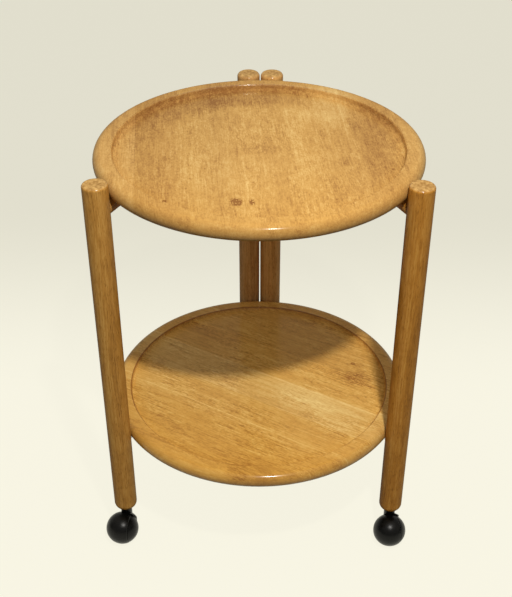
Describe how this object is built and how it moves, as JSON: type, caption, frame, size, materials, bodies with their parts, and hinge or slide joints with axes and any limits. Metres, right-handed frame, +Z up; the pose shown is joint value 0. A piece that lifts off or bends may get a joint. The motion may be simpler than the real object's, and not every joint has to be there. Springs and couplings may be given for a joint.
{
  "type": "folding serving trolley",
  "caption": "Folding serving trolley: loose round dished trays resting on hinged dowel side frames with swivelling ball casters.",
  "frame": {"origin": "on the floor, at the centre of the trolley's footprint", "axes": "+Z up; the open front, between the two front legs, faces -Y; the hinged rear legs stand at +Y; +X to the right seen from the front"},
  "size_m": [0.4365, 0.4528, 0.579],
  "materials": {
    "tray_wood": "satin clear lacquer on glued staves",
    "leg_wood": "satin clear lacquer on turned dowel",
    "rail_wood": "satin clear lacquer on turned dowel",
    "link_nylon": "matt moulded nylon",
    "caster_black": "satin moulded plastic",
    "steel": "bright drawn steel",
    "zinc": "zinc plated pressed steel"
  },
  "bodies": {
    "left_frame": {"left_front_leg": "leg_wood", "left_rear_leg": "leg_wood", "left_upper_rail": "rail_wood", "left_lower_rail": "steel", "left_front_caster_socket": "zinc", "rear_caster_socket": "zinc"},
    "hinge_links": {"upper_hinge_link": "link_nylon", "lower_hinge_link": "link_nylon"},
    "right_frame": {"right_front_leg": "leg_wood", "right_rear_leg": "leg_wood", "right_upper_rail": "rail_wood", "right_lower_rail": "steel", "right_front_caster_socket": "zinc"},
    "upper_tray": {"upper_tray": "tray_wood"},
    "lower_tray": {"lower_tray": "tray_wood"},
    "left_front_caster": {"left_front_caster_stem": "steel", "left_front_caster_hood": "caster_black", "left_front_caster_axle": "steel"},
    "left_front_wheel": {"left_front_caster_wheel": "caster_black"},
    "right_front_caster": {"right_front_caster_stem": "steel", "right_front_caster_hood": "caster_black", "right_front_caster_axle": "steel"},
    "right_front_wheel": {"right_front_caster_wheel": "caster_black"},
    "rear_caster": {"rear_caster_stem": "steel", "rear_caster_hood": "caster_black", "rear_caster_axle": "steel"},
    "rear_wheel": {"rear_caster_wheel": "caster_black"}
  },
  "joints": [
    {"name": "link_turn", "type": "hinge", "parent": "left_frame", "child": "hinge_links", "pos_m": [-0.0168, 0.20994, 0.5127], "axis": [0, 0, 1], "range_deg": [0, 63]},
    {"name": "frame_turn", "type": "hinge", "parent": "hinge_links", "child": "right_frame", "pos_m": [0.0168, 0.20994, 0.5127], "axis": [0, 0, 1], "range_deg": [0, 63]},
    {"name": "upper_tray_lift", "type": "slide", "parent": "left_frame", "child": "upper_tray", "axis": [0, 0, 1], "range_m": [0, 0.15]},
    {"name": "lower_tray_lift", "type": "slide", "parent": "left_frame", "child": "lower_tray", "axis": [0, 0, 1], "range_m": [0, 0.12]},
    {"name": "left_front_caster_swivel", "type": "hinge", "parent": "left_frame", "child": "left_front_caster", "pos_m": [-0.19208, -0.13597, 0.0525], "axis": [0, 0, 1], "continuous": true},
    {"name": "left_front_wheel_roll", "type": "hinge", "parent": "left_front_caster", "child": "left_front_wheel", "pos_m": [-0.1977, -0.15229, 0.0235], "axis": [0.9877, -0.1564, 0], "continuous": true},
    {"name": "right_front_caster_swivel", "type": "hinge", "parent": "right_frame", "child": "right_front_caster", "pos_m": [0.19208, -0.13597, 0.0525], "axis": [0, 0, 1], "continuous": true},
    {"name": "right_front_wheel_roll", "type": "hinge", "parent": "right_front_caster", "child": "right_front_wheel", "pos_m": [0.19208, -0.15323, 0.0235], "axis": [0.9848, 0.1736, 0], "continuous": true},
    {"name": "rear_caster_swivel", "type": "hinge", "parent": "left_frame", "child": "rear_caster", "pos_m": [-0.0168, 0.20994, 0.0525], "axis": [0, 0, 1], "continuous": true},
    {"name": "rear_wheel_roll", "type": "hinge", "parent": "rear_caster", "child": "rear_wheel", "pos_m": [-0.0198, 0.19294, 0.0235], "axis": [1, 0, 0], "continuous": true}
  ],
  "couplings": [
    {"joint": "frame_turn", "follows": "link_turn", "ratio": 1}
  ]
}
